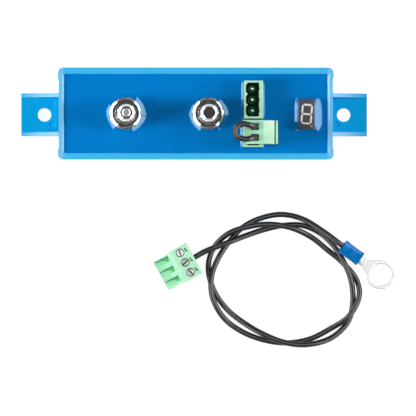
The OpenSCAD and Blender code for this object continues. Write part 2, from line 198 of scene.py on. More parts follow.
def piece(ob, body, slot, material, *nodes, smooth=35):
    """Brings a piece to metres, gives it its material, and rides it on its body."""
    ob.data.transform(Matrix.Scale(MM, 4))
    for p in ob.data.polygons:
        p.use_smooth = True
    ob.data.set_sharp_from_angle(angle=math.radians(smooth))
    ob.data.materials.clear()
    ob.data.materials.append(material)
    ob.data.update()
    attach(ob, body)
    if nodes:
        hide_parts(*nodes)
    return ob

# ---------------------------------------------------------------- materials
def lin(r, g, b):
    return tuple((c / 255 / 12.92) if c / 255 <= 0.04045 else ((c / 255 + 0.055) / 1.055) ** 2.4 for c in (r, g, b))


class Mat:
    def __init__(self, name):
        self.m = bpy.data.materials.new(name)
        self.m.use_nodes = True
        self.t = self.m.node_tree
        self.b = self.t.nodes["Principled BSDF"]
        self.tc = self.t.nodes.new("ShaderNodeTexCoord")

    def node(self, kind, **sets):
        n = self.t.nodes.new(kind)
        for k, v in sets.items():
            setattr(n, k, v)
        return n

    def link(self, a, b):
        self.t.links.new(a, b)

    def noise(self, scale, detail=3, rough=0.5, stretch=None, dist=0.0):
        n = self.node("ShaderNodeTexNoise")
        n.inputs["Scale"].default_value = scale
        n.inputs["Detail"].default_value = detail
        n.inputs["Roughness"].default_value = rough
        n.inputs["Distortion"].default_value = dist
        if stretch:
            mp = self.node("ShaderNodeMapping")
            mp.inputs["Scale"].default_value = stretch
            self.link(self.tc.outputs["Object"], mp.inputs["Vector"])
            self.link(mp.outputs["Vector"], n.inputs["Vector"])
        else:
            self.link(self.tc.outputs["Object"], n.inputs["Vector"])
        return n.outputs["Fac"]

    def ramp(self, fac, lo, hi, c0, c1):
        r = self.node("ShaderNodeValToRGB")
        r.color_ramp.elements[0].position, r.color_ramp.elements[1].position = lo, hi
        r.color_ramp.elements[0].color = (*c0, 1)
        r.color_ramp.elements[1].color = (*c1, 1)
        self.link(fac, r.inputs["Fac"])
        return r.outputs["Color"]

    def span(self, fac, a, b, lo=0.3, hi=0.7):
        r = self.node("ShaderNodeMapRange")
        r.inputs["From Min"].default_value, r.inputs["From Max"].default_value = lo, hi
        r.inputs["To Min"].default_value, r.inputs["To Max"].default_value = a, b
        self.link(fac, r.inputs["Value"])
        return r.outputs["Result"]

    def color(self, out):
        self.link(out, self.b.inputs["Base Color"]); return self

    def rough(self, out):
        self.link(out, self.b.inputs["Roughness"]); return self

    def bump(self, *layers):
        """layers of (height, distance in metres, strength), chained."""
        last = None
        for h, dist, strength in layers:
            n = self.node("ShaderNodeBump")
            n.inputs["Distance"].default_value = dist
            n.inputs["Strength"].default_value = strength
            self.link(h, n.inputs["Height"])
            if last is not None:
                self.link(last, n.inputs["Normal"])
            last = n.outputs["Normal"]
        self.link(last, self.b.inputs["Normal"])
        return self

    def set(self, **k):
        for key, v in k.items():
            self.b.inputs[key.replace("_", " ")].default_value = v
        return self


def scaled(c, k):
    return tuple(min(1.0, x * k) for x in c)


def plastic(name, rgb, rough=(0.3, 0.4), var=0.05, fine=0.00001, grain=2500, spec=0.45, coat=0.0):
    m = Mat(name)
    c = lin(*rgb) if max(rgb) > 1 else rgb
    m.color(m.ramp(m.noise(45, 4), 0.3, 0.7, scaled(c, 1 - var), scaled(c, 1 + var)))
    m.rough(m.span(m.noise(300, 3), *rough))
    m.bump((m.noise(grain, 2), fine, 0.35), (m.noise(110, 2), 0.00003, 0.15))
    m.set(Specular_IOR_Level=spec, Coat_Weight=coat)
    return m.m


def metal(name, rgb, rough=(0.16, 0.3), var=0.08, grain=900, dist=0.00001, strength=0.3, stretch=None, metallic=1.0, centre=None, rings=0.0, core=None):
    m = Mat(name)
    c = lin(*rgb) if max(rgb) > 1 else rgb
    m.color(m.ramp(m.noise(260, 4), 0.3, 0.7, scaled(c, 1 - var), scaled(c, 1 + var * 0.5)))
    m.rough(m.span(m.noise(700, 4), *rough))
    layers = [(m.noise(grain, 3, stretch=stretch), dist, strength)]
    if centre is not None:
        # painted shade: below the height of the nuts' top faces the colour drops to a darker grey, which dims what the
        # nut's chamfer and flats reflect
        sz = m.node("ShaderNodeSeparateXYZ")
        m.link(m.tc.outputs["Object"], sz.inputs["Vector"])
        mc = m.node("ShaderNodeMix", data_type="RGBA")
        m.link(m.span(sz.outputs["Z"], 0.0, 1.0, 0.04396, 0.04399), mc.inputs["Factor"])
        mc.inputs[6].default_value = (0.38, 0.375, 0.37, 1)
        m.link(m.b.inputs["Base Color"].links[0].from_socket, mc.inputs[7])
        m.color(mc.outputs[2])
        mp = m.node("ShaderNodeMapping")
        mp.inputs["Location"].default_value = (-centre[0], -centre[1], 0)
        m.link(m.tc.outputs["Object"], mp.inputs["Vector"])
        w = m.node("ShaderNodeTexWave", wave_type="RINGS", rings_direction="Z")
        w.inputs["Scale"].default_value = 420
        w.inputs["Distortion"].default_value = 1.2
        w.inputs["Detail"].default_value = 2
        m.link(mp.outputs["Vector"], w.inputs["Vector"])
        layers.append((w.outputs["Fac"], 0.00006, rings))
        if core is not None:
            # duller centre
            flat = m.node("ShaderNodeVectorMath", operation="MULTIPLY")
            flat.inputs[1].default_value = (1, 1, 0)
            m.link(mp.outputs["Vector"], flat.inputs[0])
            ln = m.node("ShaderNodeVectorMath", operation="LENGTH")
            m.link(flat.outputs["Vector"], ln.inputs[0])
            mixr = m.node("ShaderNodeMix", data_type="FLOAT")
            m.link(m.span(ln.outputs["Value"], 1.0, 0.0, 0.0019, 0.0022), mixr.inputs["Factor"])
            mixr.inputs["A"].default_value = 0.15
            mixr.inputs["B"].default_value = core
            m.rough(mixr.outputs["Result"])
    m.bump(*layers)
    m.set(Metallic=metallic)
    return m.m


def z_ramp(m, z0, z1, stops, layers=200, var=0.04):
    """Base colour in steps of height above the underside, z0 to z1, with a little mottling."""
    sep = m.node("ShaderNodeSeparateXYZ")
    m.link(m.tc.outputs["Object"], sep.inputs["Vector"])
    f = m.span(sep.outputs["Z"], 0.0, 1.0, z0, z1)
    r = m.node("ShaderNodeValToRGB")
    els = r.color_ramp.elements
    while len(els) < len(stops):
        els.new(0.5)
    for e, (z, c) in zip(els, stops):
        e.position = (z - z0) / (z1 - z0)
        e.color = (*c, 1)
    m.link(f, r.inputs["Fac"])
    mul = m.node("ShaderNodeMix", data_type="RGBA", blend_type="MULTIPLY")
    mul.inputs["Factor"].default_value = 1.0
    m.link(r.outputs["Color"], mul.inputs[6])
    m.link(m.ramp(m.noise(layers), 0.3, 0.7, (1 - var,) * 3, (1.0,) * 3), mul.inputs[7])
    m.color(mul.outputs[2])
    return f

cm = Mat("case_moulded")
# painted highlight: the case colour steps by height, and the band along the rim top, from about 34 mm, is lighter where
# the rounded rim catches the light
cf = z_ramp(cm, 0.0, 0.037, [(0.0, (0.0, 0.45, 0.76)), (0.0042, (0.0, 0.385, 0.715)), (0.0052, (0.0, 0.31, 0.63)), (0.0180, (0.0, 0.31, 0.63)), (0.0340, (0.03, 0.45, 0.78)), (0.0358, (0.04, 0.46, 0.80))], 60)
cs = cm.node("ShaderNodeSeparateXYZ")
cm.link(cm.tc.outputs["Object"], cs.inputs["Vector"])
ca = cm.node("ShaderNodeMath", operation="ABSOLUTE")
cm.link(cs.outputs["X"], ca.inputs[0])
cx_ = cm.span(ca.outputs["Value"], 0.0, 1.0, 0.0606, 0.0616)
cz_ = cm.span(cs.outputs["Z"], 0.0, 1.0, 0.0350, 0.0356)
cmul = cm.node("ShaderNodeMath", operation="MULTIPLY")
cm.link(cx_, cmul.inputs[0]); cm.link(cz_, cmul.inputs[1])
# painted highlight: the rim tops of the end walls are mixed to a paler blue where their crowned edges catch the light
cmix = cm.node("ShaderNodeMix", data_type="RGBA")
cm.link(cmul.outputs["Value"], cmix.inputs["Factor"])
cm.link(cm.b.inputs["Base Color"].links[0].from_socket, cmix.inputs[6])
cmix.inputs[7].default_value = (0.14, 0.50, 0.83, 1)
cm.color(cmix.outputs[2])
cr = cm.node("ShaderNodeMapRange")
for k, v in (("From Min", 0.0), ("From Max", 1.0), ("To Min", 0.16), ("To Max", 0.30)):
    cr.inputs[k].default_value = v
cm.link(cf, cr.inputs["Value"])
cm.rough(cr.outputs["Result"])
cm.bump((cm.noise(2200, 2), 0.000012, 0.3), (cm.noise(140, 3), 0.00003, 0.15))
cm.set(Specular_IOR_Level=0.45)
M_case = cm.m
M_resin = plastic("potting_compound", (0.0, 0.188, 0.56), rough=(0.04, 0.08), var=0.05, fine=0.000002, grain=600, spec=0.5)
M_resin.node_tree.nodes["Principled BSDF"].inputs["Specular Tint"].default_value = (0.62, 0.90, 1.0, 1)

def green(name, z0, z1, stops):
    m = Mat(name)
    z_ramp(m, z0, z1, stops)
    m.rough(m.span(m.noise(300, 3), 0.30, 0.40))
    m.bump((m.noise(2400, 2), 0.00001, 0.35))
    m.set(Specular_IOR_Level=0.28)
    return m.m

G_TOP, G_MID, G_DARK, G_DEEP = (0.43, 0.76, 0.52), (0.32, 0.69, 0.42), (0.05, 0.33, 0.12), (0.002, 0.03, 0.01)
# painted shade: the header green is near-black on the socket floors and dark up the socket walls, with a lighter band
# on the pin collars; only the top faces at about 43 mm keep the light green
M_header = green("header_moulded", 0.030, 0.044, [(0.0345, G_DEEP), (0.0351, (0.004, 0.05, 0.02)), (0.0353, (0.04, 0.23, 0.10)), (0.0357, (0.02, 0.12, 0.05)), (0.0405, (0.012, 0.10, 0.04)), (0.0424, (0.08, 0.32, 0.15)), (0.0429, G_TOP)])
# painted shade: below its top, the link plug's green runs from mid green at 43 mm to near-black at about 51 mm, where
# the wire mouths and the groove open; painted light: the top panels get paler tones that make up for the wire's shadow
M_link = green("link_plug_moulded", 0.034, 0.054, [(0.0430, G_MID), (0.0508, (0.004, 0.05, 0.015)), (0.0516, (0.006, 0.07, 0.022)), (0.0519, (0.05, 0.34, 0.13)), (0.05235, (0.10, 0.48, 0.2)), (0.05245, (0.58, 0.90, 0.67)), (0.05265, (0.58, 0.90, 0.67)), (0.0528, (0.44, 0.86, 0.58))])
# painted shade: the free plug's green darkens down into its channels and is darkest in the grooves along them, about
# 4.6 mm up; the mating face and top keep the light tones
M_lead = green("free_plug_moulded", 0.0, 0.016, [(0.0, G_MID), (0.0046, (0.10, 0.49, 0.22)), (0.0050, (0.18, 0.60, 0.31)), (0.0053, (0.36, 0.78, 0.49)), (0.0058, (0.42, 0.80, 0.54)), (0.0061, (0.52, 0.85, 0.63)), (0.0122, (0.46, 0.81, 0.56)), (0.0148, (0.47, 0.82, 0.57))])
# painted shade: this dark green lines the screw wells of the free plug; it also covers pads on the floors of its label
# recesses
M_pads_and_well_shade = plastic("plug_recess_pads_and_well_shade", (0.04, 0.31, 0.12), rough=(0.4, 0.5), spec=0.3)
# soft PVC; painted highlight: the upward-facing side of each strand is coloured a paler grey along its top
bm_ = Mat("cable_insulation")
bs_ = bm_.node("ShaderNodeSeparateXYZ")
bm_.link(bm_.tc.outputs["Normal"], bs_.inputs["Vector"])
br_ = bm_.node("ShaderNodeValToRGB")
br_.color_ramp.elements[0].position, br_.color_ramp.elements[1].position = 0.92, 0.998
br_.color_ramp.elements[0].color, br_.color_ramp.elements[1].color = (0.010, 0.010, 0.012, 1), (0.125, 0.125, 0.13, 1)
bm_.link(bs_.outputs["Z"], br_.inputs["Fac"])
be_ = br_.color_ramp.elements.new(0.965)
be_.color = (0.03, 0.03, 0.033, 1)
bx_ = bm_.node("ShaderNodeMix", data_type="RGBA", blend_type="MULTIPLY")
bx_.inputs["Factor"].default_value = 1.0
bm_.link(br_.outputs["Color"], bx_.inputs[6])
bm_.link(bm_.ramp(bm_.noise(45, 4), 0.3, 0.7, (0.7,) * 3, (1.0,) * 3), bx_.inputs[7])
bm_.color(bx_.outputs[2])
bm_.rough(bm_.span(bm_.noise(300, 3), 0.22, 0.30))
bm_.bump((bm_.noise(1400, 2), 0.00001, 0.35))
bm_.set(Specular_IOR_Level=0.42)
M_black = bm_.m
M_face = plastic("display_face", (0.075, 0.075, 0.085), rough=(0.25, 0.33), var=0.08, spec=0.3)
sm = Mat("display_diffuser")
sy = sm.node("ShaderNodeSeparateXYZ")
sm.link(sm.tc.outputs["Object"], sy.inputs["Vector"])
sf = sm.span(sy.outputs["Y"], 0.0, 1.0, -0.00525, -0.00515)
mixc = sm.node("ShaderNodeMix", data_type="RGBA")
sm.link(sf, mixc.inputs["Factor"])
mixc.inputs[6].default_value = (0.27, 0.27, 0.27, 1)
sm.link(sm.ramp(sm.noise(300), 0.3, 0.7, (0.70, 0.70, 0.66), (0.76, 0.76, 0.72)), mixc.inputs[7])
sm.color(mixc.outputs[2])
sm.rough(sm.span(sm.noise(300, 3), 0.35, 0.45))
M_seg = sm.m
M_sleeve = plastic("sleeve_nylon", (0.0, 0.14, 0.43), rough=(0.16, 0.24), var=0.16, spec=0.3)
M_sleeve.node_tree.nodes["Principled BSDF"].inputs["Specular Tint"].default_value = (0.5, 0.85, 1.0, 1)
M_zinc_in = metal("zinc_input", (0.90, 0.90, 0.91), rough=(0.11, 0.2), centre=(-0.0326, 0.0), rings=0.1, strength=0.12, core=0.36)
M_zinc_out = metal("zinc_output", (0.88, 0.88, 0.89), rough=(0.11, 0.2), centre=(0.0057, 0.0), rings=0.1, strength=0.12)
M_washer = metal("zinc_washer", (0.38, 0.375, 0.37), rough=(0.2, 0.32))
M_pin = metal("tinned_pin_metal", (0.97, 0.92, 0.92), rough=(0.3, 0.4), grain=1500, metallic=0.7)
tm = Mat("tin_plate")
ts_ = tm.node("ShaderNodeSeparateXYZ")
tm.link(tm.tc.outputs["Normal"], ts_.inputs["Vector"])
td = tm.node("ShaderNodeVectorMath", operation="DISTANCE")
tm.link(tm.tc.outputs["Object"], td.inputs[0])
td.inputs[1].default_value = (0.0863, -0.0736, 0.001)
# painted shade: faces that tilt away from up, on the edges of the tongue and the eye, are darkened by their surface
# normal; the cup and barrel, over 8.2 mm from the eye's centre, stay light
tfar = tm.span(td.outputs["Value"], 0.0, 1.0, 0.0082, 0.0092)
tadd = tm.node("ShaderNodeMath", operation="MAXIMUM")
tm.link(tm.span(ts_.outputs["Z"], 0.0, 1.0, 0.42, 0.97), tadd.inputs[0])
tm.link(tfar, tadd.inputs[1])
tf = tadd.outputs["Value"]
tmix = tm.node("ShaderNodeMix", data_type="RGBA")
tm.link(tf, tmix.inputs["Factor"])
tmix.inputs[6].default_value = (0.11, 0.115, 0.125, 1)
tm.link(tm.ramp(tm.noise(260, 4), 0.3, 0.7, (0.77, 0.77, 0.78), (0.81, 0.81, 0.82)), tmix.inputs[7])
tm.color(tmix.outputs[2])
tm.rough(tm.span(tm.noise(700, 4), 0.32, 0.42))
tm.bump((tm.noise(900, 3), 0.00001, 0.3))
tm.set(Metallic=0.12)
M_tin = tm.m
def screw_mat(name, top, low, metallic):
    m = Mat(name)
    # painted shade: below the head's top face, in the slot and down the shank in its well, the colour drops to the dark
    # low tone
    z_ramp(m, 0.010, 0.016, [(0.0110, scaled(low, 0.8)), (0.01435, low), (0.01452, top)], 400, 0.08)
    m.rough(m.span(m.noise(700, 4), 0.25, 0.36))
    m.bump((m.noise(900, 3), 0.00001, 0.3))
    m.set(Metallic=metallic)
    return m.m

# three copies of one zinc, given lighter or darker tones as painted light and shade
M_screw = screw_mat("screw_zinc", (0.70, 0.64, 0.64), (0.05, 0.05, 0.05), 0.25)
M_screw2 = screw_mat("screw_zinc_shaded_copy", (0.58, 0.57, 0.57), (0.06, 0.06, 0.06), 0.25)
M_screw1 = screw_mat("screw_zinc_lit_copy", (0.84, 0.79, 0.78), (0.42, 0.40, 0.40), 0.12)
M_cage = metal("clamp_zinc", (0.72, 0.73, 0.75), rough=(0.25, 0.4))
M_copper = metal("bare_copper", (0.86, 0.48, 0.32), rough=(0.25, 0.4))
M_alloy = metal("shunt_alloy_metal", (0.60, 0.56, 0.50), rough=(0.3, 0.45))
M_alu = metal("milled_aluminium", (0.78, 0.79, 0.80), rough=(0.3, 0.45), stretch=(1, 12, 1))
M_board = plastic("solder_mask", (0.02, 0.17, 0.08), rough=(0.3, 0.45), var=0.15)
M_chip = plastic("moulded_epoxy", (0.03, 0.03, 0.033), rough=(0.45, 0.6), var=0.2)
M_can = plastic("capacitor_sleeve", (0.05, 0.06, 0.16), rough=(0.3, 0.4), var=0.1)
M_contact = metal("contact_bronze", (0.82, 0.72, 0.48), rough=(0.25, 0.4))

NODE_MATS = {
    "heat_spreader": M_alu, "power_mosfets": M_chip, "gate_driver": M_chip, "microcontroller": M_chip,
    "resistors": M_chip, "power_board": M_board, "logic_board": M_board, "input_busbar": M_copper,
    "output_busbar": M_copper, "shunt_strip": M_alloy, "capacitors": M_can, "board_link_pins": M_pin,
    "display_pins": M_pin, "display_segments": M_seg, "jumper_contacts": M_contact, "lead_contacts": M_contact,
    "jumper_clamp_a": M_cage, "jumper_clamp_b": M_cage, "lead_clamp_a": M_cage, "lead_clamp_b": M_cage,
    "lead_clamp_c": M_cage, "jumper_wire_cores": M_copper, "lead_wire_cores": M_copper,
}
for name, m in NODE_MATS.items():
    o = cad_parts[name]
    o.data.materials.clear()
    o.data.materials.append(m)

# ---------------------------------------------------------------- the lead's cable
ROUTE = [[-1.9,-67,4.2],[5.5,-62.8,4.3],[14.5,-59.4,4.4],[23.5,-55.9,2.7],[32,-53,1.5],
  [41,-51,1.4],[50,-50.9,1.4],[58,-54.3,1.5],[64.4,-60.2,2.6],[68.9,-67.5,4.2],
  [72.4,-76,3.9],[73.4,-86,1.7],[71,-95.6,1.4],[63.2,-103,1.7],[52.5,-106,4],
  [42,-105.1,4.2],[31.5,-101,4.1],[22.5,-95.6,1.8],[14.8,-89.2,1.4],[9,-80.6,1.4],
  [6.6,-70.5,1.4],[9,-61.5,1.5],[15.8,-54.8,3.5],[25,-51.6,4.3],[35,-50.5,4.2],
  [45,-52.2,4],[54,-56.3,1.8],[61.2,-61.9,1.4],[68.5,-68,1.4],[74.8,-75.6,1.6],
  [76.2,-84,3.3],[71.4,-93,4.2],[63.2,-98.5,2],[53.5,-103.4,1.4],[43,-105.2,1.4],
  [32.5,-103.9,1.4],[22.5,-100.2,1.5],[14,-94,1.8],[8.7,-85,4],[7.9,-75.5,4.2],
  [10.6,-67.3,2.6],[16,-58.8,1.5],[22.8,-51.6,1.4],[31.5,-47.4,1.4],[41,-45.9,1.8],
  [50.5,-48.2,3.6],[59.5,-53.7,5.8],[66.2,-58.7,6.8],[70,-61.6,6.3]]
STEPS = 10
cable_pts = [catmull(ROUTE, k / STEPS) for k in range((len(ROUTE) - 1) * STEPS)] + [Vector(ROUTE[-1])]
cu = bpy.data.curves.new("lead_cable_curve", "CURVE")
cu.dimensions = "3D"
sp = cu.splines.new("POLY")
sp.points.add(len(cable_pts) - 1)
for p, q in zip(sp.points, cable_pts):
    p.co = (q.x * MM, q.y * MM, q.z * MM, 1)
cu.bevel_depth = 0.0013
cu.bevel_resolution = 5
cu.use_fill_caps = True
sp.use_smooth = True
cable = link(bpy.data.objects.new("lead_cable_insulation", cu))
cu.materials.append(M_black)
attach(cable, "lead_body")
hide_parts("lead_cable")

# ---------------------------------------------------------------- case
L2, W2, H = 63.7, 21.25, 36.0
def case_outline():
    r, s = 2.5, 16.25
    p = []
    def arc(cx, cy, a):
        for k in range(9):
            t = math.radians(a + 90 * k / 8)
            p.append((cx + r * math.cos(t), cy + r * math.sin(t)))
    arc(L2 - r, W2 - r, 0); arc(-L2 + r, W2 - r, 90)
    p += [(-L2, s + 0.35), (-L2 + 0.4, s), (-L2 + 0.4, -s), (-L2, -s - 0.35)]
    arc(-L2 + r, -W2 + r, 180); arc(L2 - r, -W2 + r, 270)
    p += [(L2, -s - 0.35), (L2 - 0.4, -s), (L2 - 0.4, s), (L2, s + 0.35)]
    return p

def drafted(p, z):
    """The case leans in towards its underside."""
    k = 0.95 * (1 - z / H)
    return [((abs(x) - k) * (1 if x > 0 else -1), (abs(y) - k) * (1 if y > 0 else -1), z) for x, y in p]

case = loft("case_shell", [drafted(case_outline(), 0), drafted(case_outline(), H)])
for s in (-1, 1):
    x0, x1 = sorted((s * (L2 - 2.2), s * 79.8))
    ear = prism("ear", rrect(x0, -9.85, x1, 9.85, 0.9, 4), 0, 4)
    boolean(case, ear, "UNION")
    for m in (-1, 1):
        y0, y1 = sorted((m * 9.85, m * 8.0))
        prof = [(s * (L2 - 2.2), 3.0), (s * 79.75, 3.0), (s * 79.75, 5.5), (s * (L2 - 0.4), 16), (s * (L2 - 2.2), 17)]
        v = [(x, y0, z) for x, z in prof] + [(x, y1, z) for x, z in prof]
        n = len(prof)
        rib = mesh("rib", v, [list(range(n)), list(range(n, 2 * n))[::-1]] + [[i, (i + 1) % n, n + (i + 1) % n, n + i] for i in range(n)])
        boolean(case, rib, "UNION")
boolean(case, prism("hollow", rrect(-61, -18.35, 61, 18.35, 1.2, 5), 2.5, 40))
for s in (-1, 1):
    boolean(case, cyl("hole", s * 69.1, 0, 3.1, -1, 6, 56))
clean(case)
bevel(case, 0.42, 3, 38)
for s in (-1, 1):
    for y in (-4.45, 4.5):
        boolean(case, loft("mark", [[(px_, py_, z) for px_, py_ in circle(s * 65.4, y, r, 40)] for r, z in ((1.2, 3.62), (1.62, 4.0), (1.62, 5.0))]))
    # uneven chamfer along the inside of each end wall
    rows = []
    for k in range(75):
        y = -18.5 + 37.0 * k / 74
        w = (0.72 if s < 0 else 0.95) + 0.2 * noise.noise(Vector((y * 0.5, s * 4.0, 2.0))) + 0.22 * noise.noise(Vector((y * 1.9, s * 9.0, 4.0)))
        rows.append([(s * 60.8, y, 35.9 - 0.62 * w), (s * (61.0 + w), y, 36.03), (s * (61.0 + w), y, 36.6), (s * 60.8, y, 36.6)])
    boolean(case, loft("chamfer", rows))
piece(case, "module", "case_blue", M_case, "case", smooth=32)

# ---------------------------------------------------------------- potting resin with its menisci
STUDS = (-32.6, 5.7)
BASE = 34.8
def hexr(th, af=17.0):
    a = (th + math.pi / 6) % (math.pi / 3) - math.pi / 6
    return af / 2 / math.cos(((th) % (math.pi / 3)) - math.pi / 6)

def rect_d(x, y, x0, y0, x1, y1):
    dx, dy = max(x0 - x, x - x1), max(y0 - y, y - y1)
    out = math.hypot(max(dx, 0), max(dy, 0))
    return (out if out > 0 else max(dx, dy)), dx, dy

def creep(d, h, L, power=2):
    return h * (1 - d / L) ** power if 0 <= d < L else (h if d < 0 else 0.0)

def reach(x, y, x0, y0, x1, y1, lx, ly, hx_, hy_, power):
    """Height of resin that creeps up a block: lx and ly are its reach at the sides and ends."""
    cx, cy, a, b = (x0 + x1) / 2, (y0 + y1) / 2, (x1 - x0) / 2, (y1 - y0) / 2
    ex, ey = max(abs(x - cx) - a, 0.0), max(abs(y - cy) - b, 0.0)
    d = math.hypot(ex, ey)
    if d == 0:
        return max(hx_, hy_)
    w = ex / (ex + ey)
    rho = ((abs(x - cx) / (a + lx)) ** power + (abs(y - cy) / (b + ly)) ** power) ** (1 / power)
    if rho >= 1:
        return 0.0
    k = (a + lx) * w + (b + ly) * (1 - w)
    t = d / (d + (1 - rho) * k)
    return (hx_ * w + hy_ * (1 - w)) * (1 - t) ** 1.15

def resin_z(x, y):
    z = BASE
    wob = noise.noise(Vector((x * 0.22, y * 0.35, 3.1)))
    for s in (-1, 1):
        d = 61.2 - s * x
        n = noise.noise(Vector((y * 0.5, s * 4.0, 2.0))) + 0.6 * noise.noise(Vector((y * 1.6, s * 3.0, 5.0)))
        z = max(z, BASE + creep(max(d, 0.0), 0.62, max(0.22, (0.3 if s < 0 else 0.5) + 0.35 * n), 1.25))
    for s in (-1, 1):
        d = 18.35 - s * y
        z = max(z, BASE + creep(d, 0.3, 0.45)) if d > 0 else z
    # over the hexagon bases
    for sx in STUDS:
        dx, dy = x - sx, y
        r = math.hypot(dx, dy)
        if r < 13:
            th = math.atan2(dy, dx)
            R = 0.55 * 9.3 + 0.45 * hexr(th + (0.12 if sx < 0 else -0.1)) + 0.42 * math.cos(th) + 0.2 * wob
            if r < 7.15:
                return 35.45
            t = max(0.0, min(1.0, (r - 7.15) / (R - 7.15)))
            k = 0.6 if sx < 0 else 0.6 - 0.27 * max(0.0, math.cos(th)) ** 0.5
            k *= 1 - 0.6 * math.exp(-((th - math.radians(126)) / 0.42) ** 2)
            z = max(z, BASE + k * (R - 7.15) * (1 - t) ** 1.1)
    # round the headers and the display
    for x0, y0, x1, y1, left, right, end, power in (
        (22.1, -2.42, 30.9, 15.12, (1.35, 0.76), (0.95, 0.52), (0.45, 0.2), 7.0),
        (21.7, -15.58, 30.8, -3.08, (1.4, 0.78), (1.0, 0.52), (0.6, 0.26), 7.0),
        (47.5, -7.3, 54.9, 6.7, (2.2, 1.2), (3.5, 1.75), (1.6, 0.6), 3.8),
    ):
        d, dx, dy = rect_d(x, y, x0, y0, x1, y1)
        if d < -0.35:
            return 33.0
        side = left if x < (x0 + x1) / 2 else right
        z = max(z, BASE + reach(x, y, x0, y0, x1, y1, side[0] * (1 + 0.1 * wob), end[0], side[1], end[1], power))
    return z

NX, NY = 480, 148
X0, X1, Y0, Y1 = -61.3, 61.3, -18.5, 18.5
rv, rf = [], []
for j in range(NY + 1):
    for i in range(NX + 1):
        x, y = X0 + (X1 - X0) * i / NX, Y0 + (Y1 - Y0) * j / NY
        rv.append((x, y, resin_z(x, y)))
def vid(i, j): return j * (NX + 1) + i
for j in range(NY):
    for i in range(NX):
        rf.append([vid(i, j), vid(i + 1, j), vid(i + 1, j + 1), vid(i, j + 1)])
rim = [vid(i, 0) for i in range(NX)] + [vid(NX, j) for j in range(NY)] + [vid(i, NY) for i in range(NX, 0, -1)] + [vid(0, j) for j in range(NY, 0, -1)]
b0 = len(rv)
for k in rim:
    rv.append((rv[k][0], rv[k][1], 2.4))
n = len(rim)
rf += [[rim[k], b0 + k, b0 + (k + 1) % n, rim[(k + 1) % n]] for k in range(n)]
rf.append([b0 + k for k in range(n)])
resin = mesh("potting_surface", rv, rf)
piece(resin, "module", "resin_blue", M_resin, "potting_resin", smooth=60)

# ---------------------------------------------------------------- studs, washers and nuts
def thread(cx, z0, z1, zt, r0, pitch, depth, n=64, per=8):
    """Right-handed thread with a chamfered end."""
    rows = int((z1 - z0) / pitch * per)
    loops = []
    for j in range(rows + 1):
        z = z0 + (z1 - z0) * j / rows
        lp = []
        for i in range(n):
            th = TAU * i / n
            f = ((z / pitch) - th / TAU) % 1.0
            w = abs(2 * f - 1)
            w = min(1.0, max(0.0, (w - 0.12) / 0.76))
            r = r0 - depth * (1 - w)
            top = r0 - max(0.0, (z - (zt - 0.9))) * 1.28
            r = min(r, max(top, 2.85))
            r = min(r, r0 - max(0.0, (z0 + 0.5 - z)) * 1.2)
            lp.append((cx + r * math.cos(th), r * math.sin(th), z))
        loops.append(lp)
    return loops

def stud(name, cx, body, node, material, dish):
    n = 64
    loops = []
    H0 = 34.2
    def ring(r, z): return [(cx + r * math.cos(TAU * i / n), r * math.sin(TAU * i / n), z) for i in range(n)]
    loops.append(ring(3.0, 12.0)); loops.append(ring(3.0, 16.6))
    th = thread(cx, 35.7, 57.0, 57.0, 4.0, 1.25, 0.55, n)
    hexl = lambda d, z: [(cx + (hexr(TAU * i / n + math.pi / 6 * 0) - d) * math.cos(TAU * i / n), (hexr(TAU * i / n) - d) * math.sin(TAU * i / n), z) for i in range(n)]
    loops += [hexl(0.25, 16.6), hexl(0.0, 16.9), hexl(0.0, H0 - 0.3), hexl(0.3, H0)]
    loops += [ring(7.0, H0), ring(7.0, 35.55), ring(6.85, 35.7), ring(3.6, 35.7)]
    loops += th
    loops += dish(ring)
    o = loft(name, loops)
    clean(o, 1e-5)
    piece(o, body, "stud_steel", material, node, smooth=24)
    return o

def dish_in(ring):
    # end with a shallow turned centre
    return [ring(2.8, 57.0), ring(2.6, 56.99), ring(2.0, 56.97), ring(1.75, 56.9), ring(1.6, 56.78), ring(1.0, 56.74), ring(0.1, 56.72)]
def dish_out(ring):
    return [ring(2.8, 57.0), ring(2.6, 56.98), ring(2.2, 56.95), ring(1.6, 56.97), ring(1.2, 56.95), ring(0.7, 56.97), ring(0.1, 56.96)]

stud("input_stud_thread", STUDS[0], "module", "input_stud", M_zinc_in, dish_in)
stud("output_stud_thread", STUDS[1], "module", "output_stud", M_zinc_out, dish_out)

def nut(name, cx, z0, body, node, material, turn):
    n, af, h = 96, 13.0, 6.5
    rc = 6.28
    loops = []
    def R(th): return af / 2 / math.cos(((th - turn) % (math.pi / 3)) - math.pi / 6)
    def ring(r, z): return [(cx + r * math.cos(turn + TAU * i / n), r * math.sin(turn + TAU * i / n), z) for i in range(n)]
    def hx(f, top):
        lp = []
        for i in range(n):
            th = turn + TAU * i / n
            r = min(R(th), 7.45) - f
            dz = max(0.0, (R(th) - rc)) * 0.58
            lp.append((cx + r * math.cos(th), r * math.sin(th), z0 + (h - dz if top else dz)))
        return lp
    z1 = z0 + h
    loops += [ring(4.62, z0), ring(4.06, z0 + 0.5), ring(4.06, z1 - 0.5), ring(4.6, z1)]
    for k, r in enumerate([4.75, 4.95, 5.15, 5.35, 5.55, 5.75, 5.95, 6.12]):
        loops.append(ring(r, z1 - (0.003 if k % 2 else 0.0)))
    loops += [ring(rc, z1)]
    a = hx(0.0, True); b = hx(0.0, False)
    # small round between the chamfer and the flats
    loops += [[(cx + (p[0] - cx) * 0.985, p[1] * 0.985, p[2] + 0.055) for p in a], [(p[0], p[1], p[2] - 0.06) for p in a],
              [(p[0], p[1], p[2] + 0.06) for p in b], [(cx + (p[0] - cx) * 0.985, p[1] * 0.985, p[2] - 0.055) for p in b]]
    loops += [ring(rc, z0)]
    o = loft(name, loops, closed=True)
    piece(o, body, "nut_steel", material, node, smooth=24)
    return o

